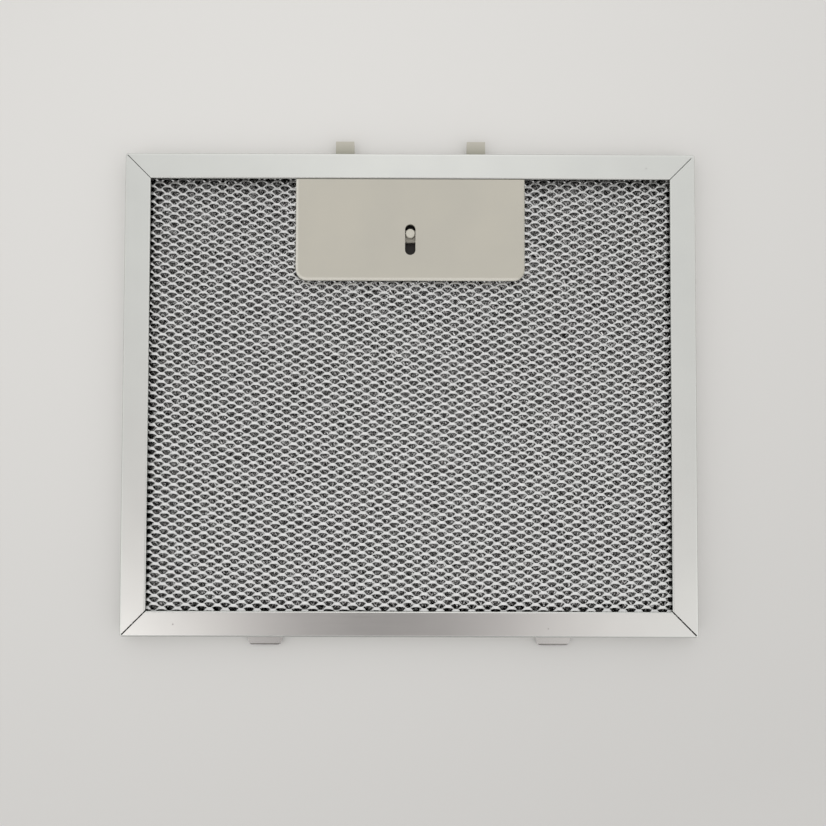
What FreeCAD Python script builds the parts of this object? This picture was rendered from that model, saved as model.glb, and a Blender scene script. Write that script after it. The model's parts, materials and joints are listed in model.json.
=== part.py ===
import FreeCAD, Part
import math
import os

Vector = FreeCAD.Vector

# Cooker hood grease filter, lying on its rear face with the room side up.
# X runs along the long side, Y towards the latch edge and Z up through the thickness.
# Millimetres throughout. A "drop" is a distance down from the latch edge of the frame.

# Frame: one aluminium strip, notched, folded to a channel and closed at one corner
frame_width = 300.0
frame_height = 253.0
frame_depth = 9.0
sheet = 0.8
lip_width = 13.5
hem_width = 5.0
bend_radius = 1.3
corner_extra_radius = 0.2
nose_radius = 0.7
upper_mitre_gap = 0.35
lower_mitre_gap = 0.7

# Lap tab that tucks one end of the strip inside the other at the closing corner
lap_length = 10.0
lap_height = 5.0
lap_gap = 0.1

# Hook lugs lanced out of the lower web
lug_spacing = 151.0
lug_root_width = 19.6
lug_tip_width = 16.2
lug_reach = 5.2
lug_corner_radius = 2.0
lance_gap = 0.3

# Mesh pack: coarse expanded mesh outside, finer layers between
pack_margin = 1.2
rim_width = 9.0
outer_mesh_depth = 1.2
outer_long_way = 8.3
outer_short_way = 4.1
outer_strand = 0.95
front_cells_per_gap = 6
rear_cells_per_gap = 8
inner_layers = 3
inner_long_way = 5.6
inner_short_way = 2.8
inner_strand = 0.7
inner_cells_per_gap = 16
layer_gap = 0.05
ridge_land = 0.6
ridge_offset_share = 0.6
least_gap_share = 0.12

# Latch housing: cover on the room side, base on the rear side, both through a notch in the pack
cover_width = 120.4
cover_drop = 67.2
cover_plate = 1.5
cover_corner_radius = 6.0
cover_rim_radius = 1.35
base_rim_chamfer = 0.8
cover_gap = 0.3
housing_inset = 3.0
housing_wall = 1.6
housing_floor = 1.4
notch_gap = 0.4
slot_width = 5.5
slot_drop = 37.55
slot_length = 16.3
shelf_depth = 1.2
shelf_overlap = 6.0
rail_width = 2.0
rail_spacing = 40.0

# Square pegs that pin the cover to sockets in the base
peg_width = 4.0
peg_gap = 0.1
peg_tip_gap = 0.3
socket_wall = 1.4
socket_height = 3.0
upper_peg_spacing = 102.0
upper_peg_drop = 26.0
lower_peg_spacing = 24.0
lower_peg_drop = 59.5

# Slider: one moulding with two tongues, a crossbar and the pull stud
slider_depth = 2.4
slider_gap = 0.3
tongue_spacing = 69.4
tongue_width = 9.7
tongue_reach = 7.3
tongue_bevel_length = 3.0
tongue_bevel_depth = 1.6
tongue_slot_gap = 0.4
arm_width = 14.0
shoulder_drop = 12.0
crossbar_drop = 40.2
crossbar_height = 6.3
slider_corner_radius = 3.0
stud_diameter = 4.8
stud_drop = 42.35
stud_sink = 0.2
stud_chamfer = 0.35
stud_dish_depth = 0.2
stud_dish_slope = 0.8
stop_gap = 0.1
guide_wall = 1.2
guide_height = 2.2

# Bent strip springs between the slider and the foot of the base
spring_strip = 0.4
spring_depth = 2.0
spring_leg_angle = 36.0
spring_crown_radius = 4.0
spring_foot = 2.5
spring_gap = 0.1

# Places worked out from the sizes above
half_width = frame_width / 2
corner_radius = bend_radius + corner_extra_radius
frame_mid_y = (lug_reach - tongue_reach) / 2
top_face = frame_mid_y + frame_height / 2
bottom_face = frame_mid_y - frame_height / 2
lip_depth = 2 * sheet
rear_seat = lip_depth
front_seat = frame_depth - lip_depth
cover_face = front_seat + cover_plate
lug_level = (frame_depth - sheet - lug_reach) / 2
housing_half = cover_width / 2 - housing_inset
housing_low = top_face - cover_drop + housing_inset
housing_high = top_face - sheet - pack_margin
floor_top = rear_seat + housing_floor
slider_low = floor_top + slider_gap
slider_high = slider_low + slider_depth
spring_foot_y = housing_low + housing_wall + spring_gap
spring_crown_y = top_face - crossbar_drop - crossbar_height - spring_gap
past = 1.0


def block(x0, x1, y0, y1, z0, z1):
    """A box between two corners."""
    return Part.makeBox(x1 - x0, y1 - y0, z1 - z0, Vector(x0, y0, z0))


def peg(x, y, z0, z1, width):
    """An upright square pin about a point."""
    return block(x - width / 2, x + width / 2, y - width / 2, y + width / 2, z0, z1)


def is_upright(edge):
    return edge.BoundBox.ZLength > edge.BoundBox.XLength + edge.BoundBox.YLength


def is_level_at(edge, z):
    box = edge.BoundBox
    return abs(box.ZMin - z) < 1e-4 and abs(box.ZMax - z) < 1e-4


def rounded_block(x0, x1, y0, y1, z0, z1, plan_radius, fold_radius):
    """A box with rounded corners in plan and rounded folds round its two flat faces."""
    body = block(x0, x1, y0, y1, z0, z1)
    body = body.makeFillet(plan_radius, [e for e in body.Edges if is_upright(e)])
    folds = [e for e in body.Edges if is_level_at(e, z0) or is_level_at(e, z1)]
    return body.makeFillet(fold_radius, folds)


def window(grow, z0, z1):
    """The frame's clear opening, grown outwards by a margin."""
    inset = lip_width - grow
    return block(
        -half_width + inset, half_width - inset, bottom_face + inset, top_face - inset, z0, z1
    )


def corner_slit(side_x, side_y, reach):
    """A thin upright cut along a corner's mitre line, from the window out to a distance."""
    inner_x = side_x * (half_width - lip_width)
    inner_y = (top_face if side_y > 0 else bottom_face) - side_y * lip_width
    gap = upper_mitre_gap if side_y > 0 else lower_mitre_gap
    slit = block(-past, reach, -gap / 2, gap / 2, -past, frame_depth + past)
    slit.rotate(Vector(0, 0, 0), Vector(0, 0, 1), math.degrees(math.atan2(side_y, side_x)))
    slit.translate(Vector(inner_x, inner_y, 0))
    return slit


def lug(centre_x):
    """A tapered hook tab with rounded tips, bent out level from the lower web."""
    root = lug_root_width / 2
    tip = lug_tip_width / 2
    outline = Part.makePolygon([
        Vector(centre_x - root, bottom_face + sheet, lug_level),
        Vector(centre_x + root, bottom_face + sheet, lug_level),
        Vector(centre_x + root, bottom_face, lug_level),
        Vector(centre_x + tip, bottom_face - lug_reach, lug_level),
        Vector(centre_x - tip, bottom_face - lug_reach, lug_level),
        Vector(centre_x - root, bottom_face, lug_level),
        Vector(centre_x - root, bottom_face + sheet, lug_level),
    ])
    tab = Part.Face(outline).extrude(Vector(0, 0, sheet))
    tip_y = bottom_face - lug_reach + 1e-4
    tips = [e for e in tab.Edges if is_upright(e) and e.BoundBox.YMax < tip_y]
    return tab.makeFillet(lug_corner_radius, tips)


def folded_frame():
    """The channel with hemmed lips, mitred corners, tongue slots and lanced lugs."""
    outer = rounded_block(
        -half_width, half_width, bottom_face, top_face, 0, frame_depth, corner_radius, bend_radius
    )
    inner = block(
        -half_width + sheet, half_width - sheet, bottom_face + sheet, top_face - sheet,
        sheet, frame_depth - sheet
    )
    frame = outer.cut([inner, window(0, -past, frame_depth + past)])
    for z0 in (sheet, front_seat):
        hem = window(hem_width, z0, z0 + sheet).cut(window(0, z0, z0 + sheet))
        frame = frame.fuse(hem)
    frame = frame.removeSplitter()

    # The lips part at all four mitres, and the web parts only where the strip closes
    slit_reach = (lip_width - bend_radius) * math.sqrt(2)
    closing_reach = (lip_width + past) * math.sqrt(2)
    frame = frame.cut([
        corner_slit(-1, 1, slit_reach),
        corner_slit(-1, -1, slit_reach),
        corner_slit(1, -1, slit_reach),
        corner_slit(1, 1, closing_reach),
    ])

    # Rounded noses on the hemmed edges
    nose_levels = (0, rear_seat, front_seat, frame_depth)
    clear = window(nose_radius / 10, -past, frame_depth + past).BoundBox
    noses = []
    for edge in frame.Edges:
        if edge.Length > lip_width and clear.isInside(edge.BoundBox):
            if any(is_level_at(edge, z) for z in nose_levels):
                noses.append(edge)
    frame = frame.makeFillet(nose_radius, noses)

    lap_side = half_width - sheet - lap_gap
    lap_low = (frame_depth - lap_height) / 2
    lap = block(
        lap_side - sheet, lap_side, top_face - sheet - lap_length, top_face - sheet / 2,
        lap_low, lap_low + lap_height
    )
    frame = frame.fuse(lap)

    for side in (-1, 1):
        lug_x = side * lug_spacing / 2
        lance_half = lug_root_width / 2 + lance_gap
        frame = frame.cut(block(
            lug_x - lance_half, lug_x + lance_half, bottom_face - past, bottom_face + sheet + past,
            lug_level + sheet, lug_level + sheet + lug_reach
        ))
        frame = frame.fuse(lug(lug_x))
        tongue_x = side * tongue_spacing / 2
        slot_half = tongue_width / 2 + tongue_slot_gap
        frame = frame.cut(block(
            tongue_x - slot_half, tongue_x + slot_half, top_face - sheet - past, top_face + past,
            slider_low - tongue_slot_gap, slider_high + tongue_slot_gap
        ))
    return frame.removeSplitter()


def diamond(x, y, half_x, half_y, z):
    """The corners of a flat diamond about a point."""
    return [
        Vector(x - half_x, y, z), Vector(x, y - half_y, z), Vector(x + half_x, y, z),
        Vector(x, y + half_y, z)
    ]


def flat_face(corners):
    return Part.Face(Part.makePolygon(corners + corners[:1]))


def tapered_block(lower, upper):
    """A solid with flat flanks between two like outlines at different heights."""
    faces = [flat_face(lower), flat_face(upper)]
    for turn in range(len(lower)):
        faces.append(flat_face([lower[turn - 1], lower[turn], upper[turn], upper[turn - 1]]))
    return Part.makeSolid(Part.makeShell(faces))


def expanded_sheet(z_low, depth, long_way, short_way, strand, cells, turned):
    """An expanded-metal sheet with ridged strands and a pressed rim, notched for the latch.

    The lattice keeps the real mesh's proportions and takes one gap for a block of its cells.
    Each strand has its ridge near one edge and leans towards the latch from there.
    """
    pitch_x = (short_way if turned else long_way) * cells
    pitch_y = (long_way if turned else short_way) * cells
    aspect = pitch_x / pitch_y
    strand_half = strand * cells * math.hypot(pitch_x, pitch_y) / 2 / pitch_x
    gap_half = pitch_y / 2 - strand_half
    ridge_half = (pitch_y - ridge_land) / 2
    ridge_offset = ridge_offset_share * strand_half

    edge_x = half_width - sheet - pack_margin
    edge_low = bottom_face + sheet + pack_margin
    edge_high = top_face - sheet - pack_margin
    notch_half = housing_half + notch_gap
    notch_low = housing_low - notch_gap
    notch_rim = housing_inset - notch_gap
    z_high = z_low + depth
    plate = block(-edge_x, edge_x, edge_low, edge_high, z_low, z_high)
    plate = plate.cut(block(
        -notch_half, notch_half, notch_low, edge_high + past, z_low - past, z_high + past
    ))

    # Gaps and slopes lie clear of the pressed rim and of the edge round the notch
    field = block(
        -edge_x + rim_width, edge_x - rim_width, edge_low + rim_width, edge_high - rim_width,
        z_low - past, z_high + past
    )
    field = field.cut(block(
        -notch_half - notch_rim, notch_half + notch_rim, notch_low - notch_rim, edge_high + past,
        z_low - 2 * past, z_high + 2 * past
    ))
    columns = math.ceil(edge_x / pitch_x)
    rows = math.ceil((edge_high - edge_low) / pitch_y)
    cuts = []
    for row in range(-rows, rows + 1):
        for column in range(-columns, columns + 1):
            x = (column + (row % 2) / 2) * pitch_x
            y = frame_mid_y + row * pitch_y / 2
            gap = diamond(x, y, gap_half * aspect, gap_half, z_low)
            ridges = diamond(x, y - ridge_offset, ridge_half * aspect, ridge_half, z_high)
            whole = tapered_block(gap, ridges)
            clear = whole.common(field)
            if clear.Volume > least_gap_share * whole.Volume:
                cuts.append(clear)
    return plate.cut(cuts).removeSplitter()


def front_mesh():
    return expanded_sheet(
        front_seat - outer_mesh_depth, outer_mesh_depth, outer_long_way, outer_short_way,
        outer_strand, front_cells_per_gap, False
    )


def rear_mesh():
    """The same mesh, turned over so that its ridges look to the rear."""
    mesh = expanded_sheet(
        rear_seat, outer_mesh_depth, outer_long_way, outer_short_way, outer_strand,
        rear_cells_per_gap, False
    )
    mesh.rotate(Vector(0, 0, rear_seat + outer_mesh_depth / 2), Vector(0, 1, 0), 180)
    return mesh


def inner_mesh(index):
    """One of the finer layers, each turned a quarter from the one below it."""
    space = front_seat - rear_seat - 2 * outer_mesh_depth
    step = space / inner_layers
    z_low = rear_seat + outer_mesh_depth + index * step + layer_gap / 2
    return expanded_sheet(
        z_low, step - layer_gap, inner_long_way, inner_short_way, inner_strand,
        inner_cells_per_gap, index % 2 == 0
    )


def latch_plate(z0, z1):
    """The plate that shows in the window, with two round corners away from the lip."""
    low = top_face - cover_drop
    plate = block(
        -cover_width / 2, cover_width / 2, low, top_face - lip_width - cover_gap, z0, z1
    )
    corners = [e for e in plate.Edges if is_upright(e) and e.BoundBox.YMax < low + 1e-4]
    return plate.makeFillet(cover_corner_radius, corners)


def rim_edges(plate, face_z):
    """The edges round a latch plate's face, apart from the one beside the lip."""
    lip_edge = plate.BoundBox.YMax - 1e-4
    return [e for e in plate.Edges if is_level_at(e, face_z) and e.BoundBox.YMin < lip_edge]


def peg_places():
    """Centres of the four pegs between cover and base."""
    places = []
    for side in (-1, 1):
        places.append((side * upper_peg_spacing / 2, top_face - upper_peg_drop))
        places.append((side * lower_peg_spacing / 2, top_face - lower_peg_drop))
    return places


def latch_cover():
    """The room-side plate with its slot, a shelf under the lip, guide rails and pegs."""
    cover = latch_plate(front_seat, cover_face)
    cover = cover.makeFillet(cover_rim_radius, rim_edges(cover, cover_face))
    shelf_half = housing_half - housing_wall - cover_gap
    shelf = block(
        -shelf_half, shelf_half, top_face - lip_width - shelf_overlap,
        top_face - lip_width + hem_width, front_seat - shelf_depth, front_seat
    )
    additions = [shelf]
    rail_low = housing_low + housing_wall + cover_gap
    for side in (-1, 1):
        rail_x = side * rail_spacing / 2
        additions.append(block(
            rail_x - rail_width / 2, rail_x + rail_width / 2, rail_low, top_face - lip_width,
            slider_high + slider_gap, front_seat
        ))
    for x, y in peg_places():
        additions.append(peg(x, y, floor_top + peg_tip_gap, front_seat, peg_width))
    cover = cover.fuse(additions)

    slot_radius = slot_width / 2
    slot_high = top_face - slot_drop - slot_radius
    slot_low = top_face - slot_drop - slot_length + slot_radius
    slot_start = front_seat - past
    slot_depth = cover_plate + 2 * past
    slot = block(
        -slot_radius, slot_radius, slot_low, slot_high, slot_start, slot_start + slot_depth
    )
    for end in (slot_low, slot_high):
        slot = slot.fuse(Part.makeCylinder(slot_radius, slot_depth, Vector(0, end, slot_start)))
    return cover.cut(slot.removeSplitter()).removeSplitter()


def latch_base():
    """The rear plate with a tray above it that carries the slider, its guides and springs."""
    base = latch_plate(rear_seat - cover_plate, rear_seat)
    base = base.makeChamfer(base_rim_chamfer, rim_edges(base, rear_seat - cover_plate))
    tray = block(-housing_half, housing_half, housing_low, housing_high, rear_seat, front_seat)
    hollow_half = housing_half - housing_wall
    tray = tray.cut(block(
        -hollow_half, hollow_half, housing_low + housing_wall, housing_high + past,
        floor_top, front_seat + past
    ))
    additions = [tray]
    guide_offset = tongue_width / 2 + slider_gap
    for arm in (-1, 1):
        for side in (-1, 1):
            near = arm * tongue_spacing / 2 + side * guide_offset
            far = near + side * guide_wall
            additions.append(block(
                min(near, far), max(near, far), top_face - shoulder_drop + stop_gap, housing_high,
                floor_top, floor_top + guide_height
            ))
    bore = peg_width + 2 * peg_gap
    bores = []
    for x, y in peg_places():
        additions.append(peg(x, y, floor_top, floor_top + socket_height, bore + 2 * socket_wall))
        bores.append(peg(x, y, floor_top, floor_top + socket_height + past, bore))
    return base.fuse(additions).cut(bores).removeSplitter()


def latch_slider():
    """Two tongues on arms, a crossbar between them and the stud that pulls it back."""
    slider_foot = top_face - crossbar_drop - crossbar_height
    slider_half = tongue_spacing / 2 + arm_width / 2
    slider = block(
        -slider_half, slider_half, slider_foot, top_face - crossbar_drop, slider_low, slider_high
    )
    for side in (-1, 1):
        x = side * tongue_spacing / 2
        arm = block(
            x - arm_width / 2, x + arm_width / 2, slider_foot, top_face - shoulder_drop,
            slider_low, slider_high
        )
        tongue = block(
            x - tongue_width / 2, x + tongue_width / 2, top_face - shoulder_drop - past,
            top_face + tongue_reach, slider_low, slider_high
        )
        slider = slider.fuse([arm, tongue])
    slider = slider.removeSplitter()
    inside = tongue_spacing / 2 - arm_width / 2
    inner_corners = []
    for edge in slider.Edges:
        box = edge.BoundBox
        at_arm = abs(abs(box.Center.x) - inside) < 1e-4
        at_bar = abs(box.Center.y - top_face + crossbar_drop) < 1e-4
        if is_upright(edge) and at_arm and at_bar:
            inner_corners.append(edge)
    slider = slider.makeFillet(slider_corner_radius, inner_corners)

    # Each tongue is bevelled on its rear side, where the hood's edge pushes it back
    tip = top_face + tongue_reach
    bevel = Part.Face(Part.makePolygon([
        Vector(-half_width, tip + past, slider_low - past),
        Vector(-half_width, tip - tongue_bevel_length, slider_low - past),
        Vector(-half_width, tip - tongue_bevel_length, slider_low),
        Vector(-half_width, tip, slider_low + tongue_bevel_depth),
        Vector(-half_width, tip + past, slider_low + tongue_bevel_depth),
        Vector(-half_width, tip + past, slider_low - past),
    ])).extrude(Vector(frame_width, 0, 0))
    slider = slider.cut(bevel)

    stud_top = cover_face - stud_sink
    stud_y = top_face - stud_drop
    stud_radius = stud_diameter / 2
    stud = Part.makeCylinder(stud_radius, stud_top - slider_low, Vector(0, stud_y, slider_low))
    stud = stud.makeChamfer(stud_chamfer, [e for e in stud.Edges if is_level_at(e, stud_top)])
    dish_radius = stud_radius - stud_chamfer
    dish = Part.makeCone(
        dish_radius - stud_dish_slope, dish_radius, stud_dish_depth,
        Vector(0, stud_y, stud_top - stud_dish_depth)
    )
    return slider.fuse(stud.cut(dish)).removeSplitter()


def latch_spring(side):
    """A bent strip, standing on two toes with its rounded crown under the slider's arm."""
    x = side * tongue_spacing / 2
    lean = math.radians(spring_leg_angle)
    apex = spring_crown_y + spring_crown_radius * (1 / math.sin(lean) - 1)
    inner_apex = apex - spring_strip / math.sin(lean)
    toe_top = spring_foot_y + spring_strip
    outer_knee = (apex - toe_top) * math.tan(lean)
    inner_knee = (inner_apex - spring_foot_y) * math.tan(lean)
    toe = outer_knee + spring_foot
    outline = [
        (-toe, toe_top), (-outer_knee, toe_top), (0, apex), (outer_knee, toe_top), (toe, toe_top),
        (toe, spring_foot_y), (inner_knee, spring_foot_y), (0, inner_apex),
        (-inner_knee, spring_foot_y), (-toe, spring_foot_y), (-toe, toe_top),
    ]
    points = [Vector(x + across, y, slider_low) for across, y in outline]
    strip = Part.Face(Part.makePolygon(points)).extrude(Vector(0, 0, spring_depth))
    for crown, radius in ((apex, spring_crown_radius), (inner_apex, spring_crown_radius - spring_strip)):
        edges = [e for e in strip.Edges if is_upright(e) and abs(e.BoundBox.YMax - crown) < 1e-4]
        strip = strip.makeFillet(radius, edges)
    return strip


pieces = {
    "frame": folded_frame(),
    "rear_mesh": rear_mesh(),
    "front_mesh": front_mesh(),
    "latch_base": latch_base(),
    "latch_cover": latch_cover(),
    "latch_slider": latch_slider(),
    "latch_spring_left": latch_spring(-1),
    "latch_spring_right": latch_spring(1),
}
for layer in range(inner_layers):
    pieces["inner_mesh_" + str(layer + 1)] = inner_mesh(layer)

os.makedirs("parts", exist_ok=True)
for name, shape in pieces.items():
    shape.exportStep("parts/" + name + ".step")
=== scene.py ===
import json
import math
import bmesh
import bpy
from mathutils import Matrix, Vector

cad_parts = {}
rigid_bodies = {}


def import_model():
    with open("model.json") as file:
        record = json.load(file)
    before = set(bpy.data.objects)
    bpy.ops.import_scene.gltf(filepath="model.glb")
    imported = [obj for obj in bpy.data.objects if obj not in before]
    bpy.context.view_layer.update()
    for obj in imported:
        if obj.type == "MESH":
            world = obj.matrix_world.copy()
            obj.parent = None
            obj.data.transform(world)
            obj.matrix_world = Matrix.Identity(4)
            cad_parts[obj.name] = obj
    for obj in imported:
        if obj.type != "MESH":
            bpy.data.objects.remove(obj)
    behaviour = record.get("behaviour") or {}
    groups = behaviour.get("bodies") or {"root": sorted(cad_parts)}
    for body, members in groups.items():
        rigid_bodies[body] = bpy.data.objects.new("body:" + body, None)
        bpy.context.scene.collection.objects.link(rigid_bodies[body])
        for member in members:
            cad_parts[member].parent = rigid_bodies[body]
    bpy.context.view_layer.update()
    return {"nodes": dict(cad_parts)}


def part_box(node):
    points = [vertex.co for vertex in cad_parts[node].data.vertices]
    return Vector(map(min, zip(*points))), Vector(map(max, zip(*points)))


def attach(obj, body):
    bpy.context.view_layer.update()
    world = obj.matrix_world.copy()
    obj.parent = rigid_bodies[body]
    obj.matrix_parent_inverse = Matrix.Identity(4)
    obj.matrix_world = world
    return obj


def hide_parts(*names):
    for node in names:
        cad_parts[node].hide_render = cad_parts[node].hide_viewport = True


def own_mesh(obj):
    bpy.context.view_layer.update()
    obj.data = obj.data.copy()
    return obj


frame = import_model()


# Frame: one strip of aluminium sheet, folded to a channel with hemmed lips and mitred at the
# corners, with two lugs bent out of the lower rail. The lugs are tinted darker as painted shade,
# and darkest at their tips as a painted contact shadow. The satin face keeps fine rolling lines
# along each rail, a few faint smudges and three small specks.
mm = 0.001
frame_low, frame_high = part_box("frame")
frame_width = frame_high.x - frame_low.x
lug_reach = 5.2 * mm
frame_bottom = frame_low.y + lug_reach
frame_top = frame_high.y
frame_height = frame_top - frame_bottom
frame_mid_y = (frame_top + frame_bottom) / 2
# where the painted contact shadow at the lug tips starts and where it is full
lug_tip_shadow_start = frame_low.y + 0.8 * mm
lug_tip_shadow_full = frame_low.y + 0.4 * mm
satin_tint = (0.66, 0.667, 0.637, 1)
smudge_tint = (0.638, 0.644, 0.617, 1)
lug_shade_tint = (0.555, 0.56, 0.535, 1)
lug_tip_shadow_tint = (0.22, 0.215, 0.205, 1)
speck_tint = (0.38, 0.37, 0.35, 1)
specks = [(-122.1, -120.8, 0.55), (124.0, 117.7, 0.40), (72.0, -122.7, 0.45)]
speck_core = 0.3
rolling_grains = 60
rolling_stretch = 60
rolling_depth = 0.02 * mm
smudge_grains = 45


def node(tree, kind, inputs=None, **settings):
    """Adds a shader node, with its settings and with a value or a link on each named input."""
    made = tree.nodes.new("ShaderNode" + kind)
    for setting, value in settings.items():
        setattr(made, setting, value)
    for socket, value in (inputs or {}).items():
        if isinstance(value, bpy.types.NodeSocket):
            tree.links.new(value, made.inputs[socket])
        else:
            made.inputs[socket].default_value = value
    return made


def calculate(tree, operation, first, second=0.0):
    """The result of one sum on two numbers or sockets."""
    return node(tree, "Math", {0: first, 1: second}, operation=operation).outputs[0]


def apart(tree, value, middle):
    """How far a number lies from a middle, to either side."""
    return calculate(tree, "ABSOLUTE", calculate(tree, "SUBTRACT", value, middle))


def distance(tree, place, spot):
    """How far a place lies from a spot."""
    return node(tree, "VectorMath", {0: place, 1: spot}, operation="DISTANCE").outputs["Value"]


def ramp(tree, value, start, end, low=0.0, high=1.0):
    """A number that runs from low to high as a value goes from a start to an end."""
    ends = {"From Min": start, "From Max": end, "To Min": low, "To Max": high}
    return node(tree, "MapRange", {"Value": value, **ends}).outputs["Result"]


def between(tree, share, low, high, spread=0.2):
    """A number that runs from low to high as a noise passes its middle, by a spread each way."""
    return ramp(tree, share, 0.5 - spread, 0.5 + spread, low, high)


def noise(tree, place, scale, detail=2.0, stretch=(1, 1, 1)):
    """Soft noise about 0.5, with a number of grains per metre and a stretch along each axis."""
    spread = node(tree, "Mapping", {"Vector": place, "Scale": stretch}).outputs["Vector"]
    return node(tree, "TexNoise", {"Vector": spread, "Scale": scale, "Detail": detail}).outputs["Fac"]


def mixed(tree, share, first, second):
    """A colour between two others."""
    blend = node(tree, "Mix", data_type="RGBA")
    for socket, value in ((blend.inputs[0], share), (blend.inputs[6], first), (blend.inputs[7], second)):
        if isinstance(value, bpy.types.NodeSocket):
            tree.links.new(value, socket)
        else:
            socket.default_value = value
    return blend.outputs[2]


def new_finish(name):
    """An empty material: returns it with its tree, its shader and the object's coordinates."""
    finish = bpy.data.materials.new(name)
    finish.use_nodes = True
    tree = finish.node_tree
    return finish, tree, tree.nodes["Principled BSDF"], node(tree, "TexCoord").outputs["Object"]


def coat(tree, shader, tint, roughness, metallic):
    """Links a tint and a roughness to a shader, and makes it metal or not."""
    tree.links.new(tint, shader.inputs["Base Color"])
    tree.links.new(roughness, shader.inputs["Roughness"])
    shader.inputs["Metallic"].default_value = metallic


def emboss(tree, shader, height, strength, depth):
    """Gives a shader a fine relief."""
    relief = node(tree, "Bump", {"Strength": strength, "Distance": depth, "Height": height})
    tree.links.new(relief.outputs["Normal"], shader.inputs["Normal"])


def dress(name, finish):
    """Gives a finish to one of the solids."""
    mesh = frame["nodes"][name].data
    mesh.materials.clear()
    mesh.materials.append(finish)


satin, tree, shader, place = new_finish("satin_aluminium")
axes = node(tree, "SeparateXYZ", {"Vector": place}).outputs
from_middle = apart(tree, axes["Y"], frame_mid_y)
past_mitre = calculate(tree, "SUBTRACT", from_middle, calculate(tree, "ABSOLUTE", axes["X"]))
on_long_rail = calculate(tree, "GREATER_THAN", past_mitre, (frame_height - frame_width) / 2)
long_lines = noise(tree, place, rolling_grains, 3, (1, rolling_stretch, rolling_stretch))
short_lines = noise(tree, place, rolling_grains, 3, (rolling_stretch, 1, rolling_stretch))
lines = node(tree, "Mix", {0: on_long_rail, 2: short_lines, 3: long_lines}).outputs[0]
smudges = noise(tree, place, smudge_grains, 3)
tint = mixed(tree, between(tree, smudges, 0, 1), satin_tint, smudge_tint)
# painted shade: the lugs below the lower rail are darker, and their tips darker still as a painted
# contact shadow
tint = mixed(tree, calculate(tree, "LESS_THAN", axes["Y"], frame_bottom), tint, lug_shade_tint)
tint = mixed(tree, ramp(tree, axes["Y"], lug_tip_shadow_start, lug_tip_shadow_full), tint, lug_tip_shadow_tint)
for x, y, radius in specks:
    reach = distance(tree, place, (x * mm, y * mm, frame_high.z))
    tint = mixed(tree, ramp(tree, reach, radius * mm, speck_core * radius * mm), tint, speck_tint)
coat(tree, shader, tint, between(tree, lines, 0.24, 0.26), 1)
emboss(tree, shader, lines, 0.012, rolling_depth)
dress("frame", satin)


# Outer mesh: two sheets of expanded aluminium, one to each face. Slit sheet is drawn out to
# diamonds, so every strand leans towards the latch edge and climbs from one bond to the next.
# Both sheets lie in the frame's channel, under the lips, and are notched round the latch.
outer_long_way = 8.27 * mm
outer_short_way = 4.13 * mm
outer_foot = 1.00 * mm
outer_top = 0.60 * mm
outer_tip = 1.42 * mm
outer_tip_rise = 0.60 * mm
outer_strand = 0.77 * mm
outer_sag = 0.22 * mm
outer_sheet = 0.27 * mm
outer_jitter = 0.07 * mm
strand_lean = math.radians(27)
hair = 0.02 * mm
cut_threshold = 1e-7
lattice_turn = math.radians(1.2)
lattice_shift = Vector((1.8, -2.95, 0)) * mm
notch_half = 57.6 * mm
notch_low = frame_top - 64.6 * mm
lip_width = 13.5 * mm
# painted shade along the lips: how far it reaches below the upper lip, and how much shorter beside the
# other lips
lip_shade_reach = 10 * mm
upper_lip_shade_ratio = 4
tarnish_grains = 900


def select_points(test):
    """Selects the points of the mesh in edit mode whose place passes a test."""
    mesh = bmesh.from_edit_mesh(bpy.context.object.data)
    bpy.ops.mesh.select_all(action="DESELECT")
    for point in mesh.verts:
        point.select = test(point.co)
    mesh.select_flush(True)
    bmesh.update_edit_mesh(bpy.context.object.data)


def select_faces(test):
    """Selects the faces of the mesh in edit mode whose middle passes a test."""
    mesh = bmesh.from_edit_mesh(bpy.context.object.data)
    bpy.ops.mesh.select_all(action="DESELECT")
    for face in mesh.faces:
        face.select = test(face.calc_center_median())
    bmesh.update_edit_mesh(bpy.context.object.data)


def pick(piece):
    """Makes a piece the active one and the only one selected."""
    bpy.ops.object.select_all(action="DESELECT")
    bpy.context.view_layer.objects.active = piece
    piece.select_set(True)


def add_modifier(piece, kind, **settings):
    """Adds a modifier to a piece and applies it."""
    modifier = piece.modifiers.new(kind.lower(), kind)
    for setting, value in settings.items():
        setattr(modifier, setting, value)
    bpy.ops.object.modifier_apply(modifier=modifier.name)


def repeat(piece, count, step):
    """Repeats a piece's mesh along a step."""
    add_modifier(
        piece, "ARRAY", count=count, use_relative_offset=False, use_constant_offset=True,
        constant_offset_displace=step
    )


def draw_out(edge, ends):
    """Draws an edge of the mesh in edit mode out to a new pair of ends."""
    step = ends[0] - edge[0]
    select_points(lambda place: min((place - end).length for end in edge) < hair)
    bpy.ops.mesh.extrude_edges_move(TRANSFORM_OT_translate={"value": step})
    select_points(lambda place: (place - edge[1] - step).length < hair)
    bpy.ops.transform.translate(value=ends[1] - edge[1] - step)


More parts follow.
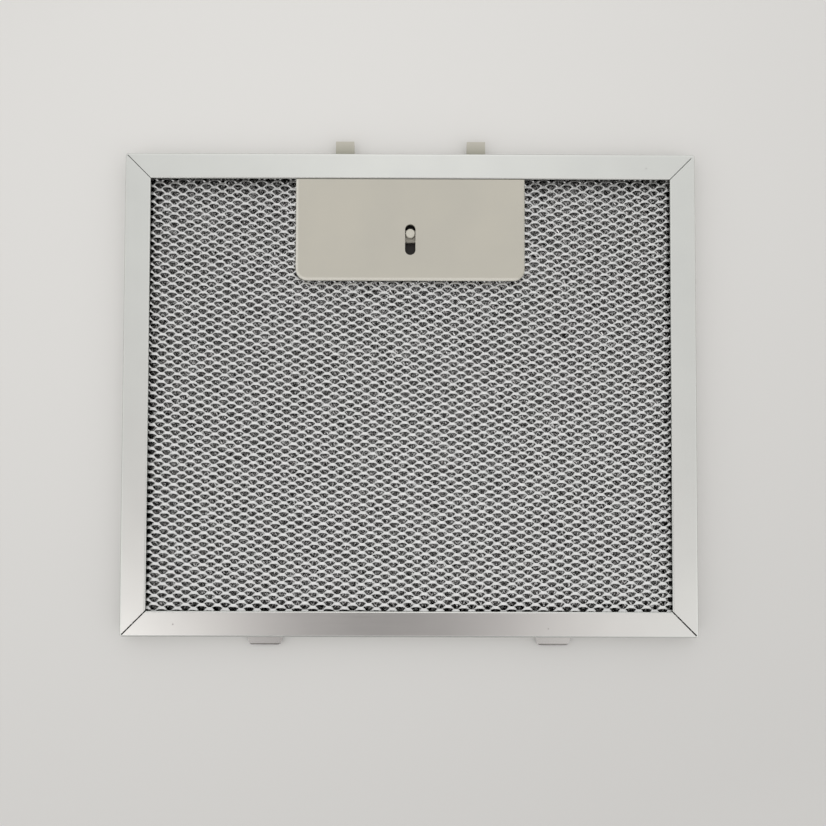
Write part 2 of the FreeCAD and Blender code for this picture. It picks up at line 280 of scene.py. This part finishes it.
def mesh_cell(name, long_way, short_way, foot, top, tip, tip_rise, strand, sag):
    """One bond of a mesh and its two upper strands, as a thin surface.

    The bond has a wide foot and a narrow top, half widths both, with a tip to each side. Its
    strands run to the foot of the next bonds, straight or with a sag halfway. Its points are
    marked with the share of bond, which falls to nothing halfway along a strand.
    """
    run = strand * math.cos(strand_lean)
    fall = math.tan(strand_lean)
    bpy.ops.object.select_all(action="DESELECT")
    bpy.ops.mesh.primitive_plane_add(size=2)
    cell = bpy.context.object
    cell.name = name
    bpy.ops.object.mode_set(mode="EDIT")
    bpy.ops.transform.resize(value=(foot, run, 1))
    select_points(lambda place: place.y > 0)
    bpy.ops.transform.resize(value=(top / foot, 1, 1))
    bpy.ops.transform.translate(value=(0, 0, -run * fall))
    select_points(lambda place: place.y < 0)
    bpy.ops.transform.translate(value=(0, 0, run * fall))
    for side in (-1, 1):
        low_corner = Vector((side * foot, -run, run * fall))
        high_corner = Vector((side * top, run, -run * fall))
        side_tip = Vector((side * tip, tip_rise, -tip_rise * fall))
        next_tip = Vector((side * (long_way / 2 - tip), short_way / 2 + tip_rise, -tip_rise * fall))
        next_foot = Vector((side * (long_way / 2 - foot), short_way / 2 - run, run * fall))
        select_points(lambda place: min((place - low_corner).length, (place - high_corner).length) < hair)
        bpy.ops.mesh.extrude_edges_move()
        bpy.ops.mesh.merge(type="CENTER")
        bpy.ops.transform.translate(value=side_tip - (low_corner + high_corner) / 2)
        arm = [(high_corner, side_tip), (next_tip, next_foot)]
        if sag > 0:
            upper_middle = high_corner.lerp(next_tip, 0.5) + Vector((0, -sag, sag))
            lower_middle = side_tip.lerp(next_foot, 0.5) + Vector((0, 0.5 * sag, sag))
            arm.insert(1, (upper_middle, lower_middle))
        for edge, ends in zip(arm, arm[1:]):
            draw_out(edge, ends)
    bpy.ops.object.mode_set(mode="OBJECT")
    bond_share = cell.data.attributes.new("bond_share", "FLOAT", "POINT")
    for point, share in zip(cell.data.vertices, bond_share.data):
        share.value = math.cos(2 * math.pi * point.co.x / long_way) ** 2
    return cell


def mesh_sheet(cell, node_name, long_way, short_way, turn, shift):
    """Repeats a cell over a sheet, turns the lattice and trims it to its solid's outline."""
    low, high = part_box(node_name)
    middle = (low + high) / 2
    span = (high - low).length
    columns = math.ceil(span / long_way)
    rows = math.ceil(span / short_way)
    repeat(cell, columns, (long_way, 0, 0))
    repeat(cell, 2, (long_way / 2, short_way / 2, 0))
    repeat(cell, rows, (0, short_way, 0))
    bpy.ops.object.mode_set(mode="EDIT")
    bpy.ops.mesh.select_all(action="SELECT")
    bpy.ops.mesh.remove_doubles(threshold=hair)
    bpy.ops.mesh.normals_make_consistent()
    bpy.ops.transform.translate(value=(-columns * long_way / 2, -rows * short_way / 2, 0))
    bpy.ops.transform.rotate(value=turn, orient_axis="Z", center_override=(0, 0, 0))
    bpy.ops.transform.translate(value=middle + shift)
    outline = ((low, (-1, 0, 0)), (low, (0, -1, 0)), (high, (1, 0, 0)), (high, (0, 1, 0)))
    for plane_place, outward in outline:
        bpy.ops.mesh.select_all(action="SELECT")
        bpy.ops.mesh.bisect(
            plane_co=plane_place, plane_no=outward, clear_outer=True, threshold=cut_threshold
        )
    notch = (
        ((-notch_half, 0, 0), (1, 0, 0)), ((notch_half, 0, 0), (1, 0, 0)), ((0, notch_low, 0), (0, 1, 0))
    )
    for plane_place, outward in notch:
        select_faces(
            lambda place: abs(place.x) < notch_half + long_way and place.y > notch_low - long_way
        )
        bpy.ops.mesh.bisect(plane_co=plane_place, plane_no=outward, threshold=cut_threshold)
    select_faces(lambda place: abs(place.x) < notch_half and place.y > notch_low)
    bpy.ops.mesh.delete(type="FACE")

    # Offcuts that the trimming leaves loose are taken away
    select_points(lambda place: (place - middle).length < long_way / 2)
    bpy.ops.mesh.select_linked()
    bpy.ops.mesh.select_all(action="INVERT")
    bpy.ops.mesh.delete(type="VERT")
    bpy.ops.object.mode_set(mode="OBJECT")


def jitter(piece, offset, seed):
    """Moves each point by a hair, as stretching leaves it."""
    bpy.ops.object.mode_set(mode="EDIT")
    bpy.ops.mesh.select_all(action="SELECT")
    bpy.ops.transform.vertex_random(offset=offset, seed=seed)
    bpy.ops.object.mode_set(mode="OBJECT")


def mesh_finish(name, grains, spread, light, dark, strand_shade_tint, lip_shade_tint, rough_low, rough_high):
    """Bare stretched aluminium, with changes of tone from strand to strand.

    The strands take a tint of painted shade between the bonds. Along the lips the mesh takes a
    painted shade for the lips' shadow, which reaches furthest below the upper lip.
    """
    finish, tree, shader, place = new_finish(name)
    axes = node(tree, "SeparateXYZ", {"Vector": place}).outputs
    from_side = calculate(
        tree, "SUBTRACT", frame_width / 2 - lip_width, calculate(tree, "ABSOLUTE", axes["X"])
    )
    from_end = calculate(
        tree, "SUBTRACT", frame_height / 2 - lip_width, apart(tree, axes["Y"], frame_mid_y)
    )
    from_lip = calculate(tree, "MINIMUM", from_side, from_end)
    from_lip = calculate(tree, "MULTIPLY", from_lip, upper_lip_shade_ratio)
    from_upper_lip = calculate(tree, "SUBTRACT", frame_top - lip_width, axes["Y"])
    from_lip = calculate(tree, "MINIMUM", from_lip, from_upper_lip)
    tone = between(tree, noise(tree, place, grains, 3), 0, 1, spread)
    bond = node(tree, "Attribute", attribute_name="bond_share").outputs["Fac"]
    # painted shade: the strands between the bonds take a tint of their own
    tint = mixed(tree, bond, strand_shade_tint, mixed(tree, tone, dark, light))
    # painted shade: the mesh darkens towards the lips, furthest below the upper lip
    tint = mixed(tree, ramp(tree, from_lip, 0, lip_shade_reach), lip_shade_tint, tint)
    tarnish = noise(tree, place, tarnish_grains, 2)
    coat(tree, shader, tint, between(tree, tarnish, rough_low, rough_high), 1)
    return finish


def fit_piece(piece, node_name, finish):
    """Gives a piece its finish and puts it in the place of its solid."""
    piece.data.materials.clear()
    piece.data.materials.append(finish)
    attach(piece, "filter")
    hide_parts(node_name)


bright_mesh = mesh_finish(
    "mesh_aluminium", grains=420, spread=0.2, light=(0.79, 0.79, 0.78, 1), dark=(0.69, 0.69, 0.68, 1),
    strand_shade_tint=(0.62, 0.62, 0.61, 1), lip_shade_tint=(0.60, 0.60, 0.59, 1), rough_low=0.34, rough_high=0.5
)
front = mesh_cell(
    "front_expanded_mesh", outer_long_way, outer_short_way, outer_foot, outer_top, outer_tip,
    outer_tip_rise, outer_strand, outer_sag
)
mesh_sheet(front, "front_mesh", outer_long_way, outer_short_way, lattice_turn, lattice_shift)
jitter(front, outer_jitter, seed=3)
add_modifier(front, "SOLIDIFY", thickness=outer_sheet, offset=0)
rear = front.copy()
rear.data = front.data.copy()
rear.name = "rear_expanded_mesh"
bpy.context.scene.collection.objects.link(rear)
pick(rear)
middle_z = (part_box("front_mesh")[0].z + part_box("rear_mesh")[1].z) / 2
bpy.ops.object.mode_set(mode="EDIT")
bpy.ops.mesh.select_all(action="SELECT")
bpy.ops.transform.rotate(value=math.pi, orient_axis="Y", center_override=(0, 0, middle_z))
bpy.ops.object.mode_set(mode="OBJECT")
fit_piece(front, "front_mesh", bright_mesh)
fit_piece(rear, "rear_mesh", bright_mesh)


# Inner mesh: three layers of a finer, thinner expanded mesh between the two outer sheets. They
# are crumpled a little when the pack is pressed, and each lies across the one below it.
inner_long_way = 6.25 * mm
inner_short_way = 3.12 * mm
inner_foot = 0.58 * mm
inner_top = 0.20 * mm
inner_tip = 0.80 * mm
inner_tip_rise = 0.15 * mm
inner_strand = 0.37 * mm
inner_sag = 0
inner_sheet = 0.15 * mm
inner_jitter = 0.18 * mm
crumple_grain = 3 * mm
crumple_depth = 0.5 * mm


def ruffle(piece, grain, depth):
    """Waves a sheet gently up and down, with waves of about one grain across."""
    waves = bpy.data.textures.new(piece.name + "_waves", "CLOUDS")
    waves.noise_scale = grain
    add_modifier(
        piece, "DISPLACE", texture=waves, texture_coords="LOCAL", direction="Z", strength=depth,
        mid_level=0.5
    )


# painted shade: the inner layers are coloured far darker than the outer sheets, for the shade inside the
# pack
inner_mesh_painted_shade = mesh_finish(
    "inner_mesh_aluminium", grains=1300, spread=0.07, light=(0.66, 0.66, 0.65, 1),
    dark=(0.012, 0.012, 0.011, 1), strand_shade_tint=(0.18, 0.18, 0.175, 1),
    lip_shade_tint=(0.04, 0.04, 0.038, 1), rough_low=0.10, rough_high=0.24
)
for layer in range(3):
    node_name = "inner_mesh_" + str(layer + 1)
    piece = mesh_cell(
        "fine_" + node_name, inner_long_way, inner_short_way, inner_foot, inner_top, inner_tip,
        inner_tip_rise, inner_strand, inner_sag
    )
    layer_turn = math.radians(90) * (layer + 1) + lattice_turn * (2 - 3 * layer)
    mesh_sheet(piece, node_name, inner_long_way, inner_short_way, layer_turn, Vector())
    jitter(piece, inner_jitter, seed=layer)
    ruffle(piece, crumple_grain, crumple_depth)
    add_modifier(piece, "SOLIDIFY", thickness=inner_sheet, offset=0)
    fit_piece(piece, node_name, inner_mesh_painted_shade)


# Latch base and springs: a dark moulded tray that sits in the notch of the mesh from behind, and
# two bent strips of spring steel that push the slider out. Each stands with its foot on the tray;
# the real strips flatten as the slider is drawn back, but here they are fixed to the filter.
dark_tint = (0.016, 0.0125, 0.010, 1)
dark_cloud_tint = (0.023, 0.018, 0.015, 1)
pit_depth = 0.03 * mm
steel_tint = (0.48, 0.48, 0.48, 1)
drawn_tint = (0.60, 0.60, 0.59, 1)
bend_angle = math.radians(30)
dark, tree, shader, place = new_finish("dark_plastic")
clouds = noise(tree, place, 120, 3)
tint = mixed(tree, between(tree, clouds, 0, 1), dark_tint, dark_cloud_tint)
coat(tree, shader, tint, between(tree, clouds, 0.45, 0.6), 0)
emboss(tree, shader, noise(tree, place, 5000, 2), 0.25, pit_depth)
dress("latch_base", dark)

steel, tree, shader, place = new_finish("spring_steel")
drawn = noise(tree, place, 200, 3, (1, 1, 30))
tint = mixed(tree, between(tree, drawn, 0, 1), steel_tint, drawn_tint)
coat(tree, shader, tint, between(tree, drawn, 0.22, 0.36), 1)
for side in ("left", "right"):
    node_name = "latch_spring_" + side
    leaf = bpy.data.objects.new("leaf_spring_" + side, frame["nodes"][node_name].data.copy())
    bpy.context.scene.collection.objects.link(leaf)
    pick(leaf)
    bpy.ops.object.mode_set(mode="EDIT")
    bpy.ops.mesh.select_all(action="SELECT")
    bpy.ops.mesh.remove_doubles(threshold=hair)
    bpy.ops.object.mode_set(mode="OBJECT")
    bpy.ops.object.shade_smooth_by_angle(angle=bend_angle)
    fit_piece(leaf, node_name, steel)
    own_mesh(leaf)


# Latch slider and cover: beige mouldings with a fine spark-eroded grain. The slider carries the
# two tongues, in painted shade where they leave the frame, and the pull stud, its face tinted
# lighter. The cover closes the tray under the frame's upper lip, and its free edge has a painted
# highlight.
beige_tint = (0.485, 0.465, 0.402, 1)
flow_tint = (0.517, 0.493, 0.420, 1)
tongue_shade_tint = (0.339, 0.333, 0.266, 1)
stud_tint = (0.575, 0.554, 0.477, 1)
rim_highlight_tint = (0.68, 0.66, 0.585, 1)
tongue_shade_length = 7 * mm
tongue_shade_depth = 2 * mm
stud_place = (0, 83.1 * mm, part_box("latch_slider")[1].z)
stud_edge = 2.5 * mm
stud_face = 2.2 * mm
cover_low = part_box("latch_cover")[0]
cover_corner = 6 * mm
rim_highlight_start = cover_corner - 1.7 * mm
rim_highlight_full = cover_corner - 0.7 * mm
beige, tree, shader, place = new_finish("beige_plastic")
grain = noise(tree, place, 3500, 2)
flow = noise(tree, place, 28, 3)
tint = mixed(tree, between(tree, flow, 0, 1), beige_tint, flow_tint)
axes = node(tree, "SeparateXYZ", {"Vector": place}).outputs
# painted shade: the tongues darken towards the rail, whose shade falls on them
tongue_shade = ramp(tree, axes["Y"], frame_top + tongue_shade_length, frame_top)
outside = calculate(tree, "GREATER_THAN", axes["Y"], frame_top - tongue_shade_depth)
tint = mixed(tree, calculate(tree, "MULTIPLY", tongue_shade, outside), tint, tongue_shade_tint)
# the pull stud's face is tinted lighter than the rest of the slider
stud_face_share = ramp(tree, distance(tree, place, stud_place), stud_edge, stud_face)
tint = mixed(tree, stud_face_share, tint, stud_tint)
# painted highlight: the cover's rounded free edge is tinted pale where it catches the light
past_side = calculate(tree, "SUBTRACT", cover_low.x + cover_corner, axes["X"])
past_end = calculate(tree, "SUBTRACT", cover_low.y + cover_corner, axes["Y"])
past = node(
    tree, "CombineXYZ",
    {"X": calculate(tree, "MAXIMUM", past_side, 0), "Y": calculate(tree, "MAXIMUM", past_end, 0)}
)
reach = node(tree, "VectorMath", {0: past.outputs["Vector"]}, operation="LENGTH").outputs["Value"]
tint = mixed(tree, ramp(tree, reach, rim_highlight_start, rim_highlight_full), tint, rim_highlight_tint)
coat(tree, shader, tint, between(tree, grain, 0.46, 0.6), 0)
emboss(tree, shader, grain, 0.3, pit_depth)
for name in ("latch_slider", "latch_cover"):
    dress(name, beige)


# Floor, light and camera: a pale table with painted shade, darker towards the near end and towards
# its rim, under a wide soft sky, which darkens a little to the sides and brightens low down there and
# towards both ends. Beyond the near end it has one bright patch on the left, and one dim patch that
# runs down to a dim column.
floor_size = 3.0
floor_drop = 0.05 * mm
floor_near_shade_tint = (0.612, 0.604, 0.583, 1)
floor_far_lit_tint = (0.785, 0.775, 0.747, 1)
floor_rim_shade_tint = (0.595, 0.587, 0.567, 1)
floor_rim_shade_share = 0.4
floor_shade_fade = 0.28
floor_shade_slant = (-0.45, 1, 0)
side_glow_gain = 0.25
far_glow_gain = 0.26
near_glow_gain = 0.38
bright_patch = (-0.36, -0.315, 0.878)
bright_gain = 1.2
dim_patch = (-0.035, -0.225, 0.974)
dim_share = 0.11
column_dim = 0.6
dim_tint = (1, 0.915, 0.925, 1)
sky_tint = (1, 1, 1, 1)
bpy.ops.object.select_all(action="DESELECT")
bpy.ops.mesh.primitive_plane_add(size=floor_size, location=(0, 0, -floor_drop))
floor = bpy.context.object
floor.name = "floor"
pale, tree, shader, place = new_finish("pale_table")
# painted shade: the floor darkens towards the near end and towards its rim
away = node(tree, "VectorMath", {0: place, 1: floor_shade_slant}, operation="DOT_PRODUCT").outputs["Value"]
tint = mixed(tree, ramp(tree, away, -floor_shade_fade, floor_shade_fade), floor_near_shade_tint, floor_far_lit_tint)
reach = node(tree, "VectorMath", {0: place}, operation="LENGTH").outputs["Value"]
tint = mixed(tree, ramp(tree, reach, 0.16, 0.36, 0, floor_rim_shade_share), tint, floor_rim_shade_tint)
tree.links.new(tint, shader.inputs["Base Color"])
shader.inputs["Roughness"].default_value = 0.6
floor.data.materials.append(pale)

sky = bpy.data.worlds.new("soft_sky")
bpy.context.scene.world = sky
sky.use_nodes = True
tree = sky.node_tree
sight = node(tree, "TexCoord").outputs["Generated"]
axes = node(tree, "SeparateXYZ", {"Vector": sight}).outputs
to_side = calculate(tree, "ABSOLUTE", axes["X"])
side_dim = ramp(tree, to_side, 0, 0.45, 1.12, 0.805)
low_dim = ramp(tree, axes["Z"], 0, 0.85, 0.72, 1)
side_glow = ramp(tree, to_side, 0.48, 0.75, 0, side_glow_gain)
far_glow = ramp(tree, axes["Y"], 0.3, 0.8, 0, far_glow_gain)
near_glow = ramp(tree, axes["Y"], -0.08, -0.32, 0, near_glow_gain)
near_fade = ramp(tree, axes["Y"], -0.9, -0.55, 0.3, 1)
near_light = calculate(tree, "MULTIPLY", near_glow, near_fade)
lit = ramp(tree, distance(tree, sight, bright_patch), 0.16, 0.04, 0, bright_gain)
glow = calculate(tree, "MULTIPLY", side_dim, low_dim)
for more in (side_glow, far_glow, near_light, lit):
    glow = calculate(tree, "ADD", glow, more)
from_patch = distance(tree, sight, dim_patch)
patch = node(
    tree, "MapRange", {"Value": from_patch, "From Min": 0.06, "From Max": 0.295, "To Min": dim_share},
    interpolation_type="SMOOTHSTEP"
)
column = ramp(tree, apart(tree, axes["X"], dim_patch[0]), 0.42, 0.12, 0, column_dim)
below = ramp(tree, axes["Y"], -0.33, -0.52)
shade = calculate(tree, "SUBTRACT", 1, calculate(tree, "MULTIPLY", column, below))
shade = calculate(tree, "MULTIPLY", shade, patch.outputs["Result"])
light = tree.nodes["Background"].inputs
tree.links.new(mixed(tree, ramp(tree, from_patch, 0.15, 0.45), dim_tint, sky_tint), light["Color"])
tree.links.new(calculate(tree, "MULTIPLY", glow, shade), light["Strength"])

camera_data = bpy.data.cameras.new("camera")
camera_data.lens = 34.87
camera_data.sensor_width = 36
camera = bpy.data.objects.new("camera", camera_data)
camera.location = (0.00085, -0.02395, 0.42565)
camera.rotation_euler = (math.radians(1.74), math.radians(-0.12), math.radians(0.16))
bpy.context.scene.collection.objects.link(camera)
bpy.context.scene.camera = camera
bpy.context.scene.view_settings.view_transform = "Standard"
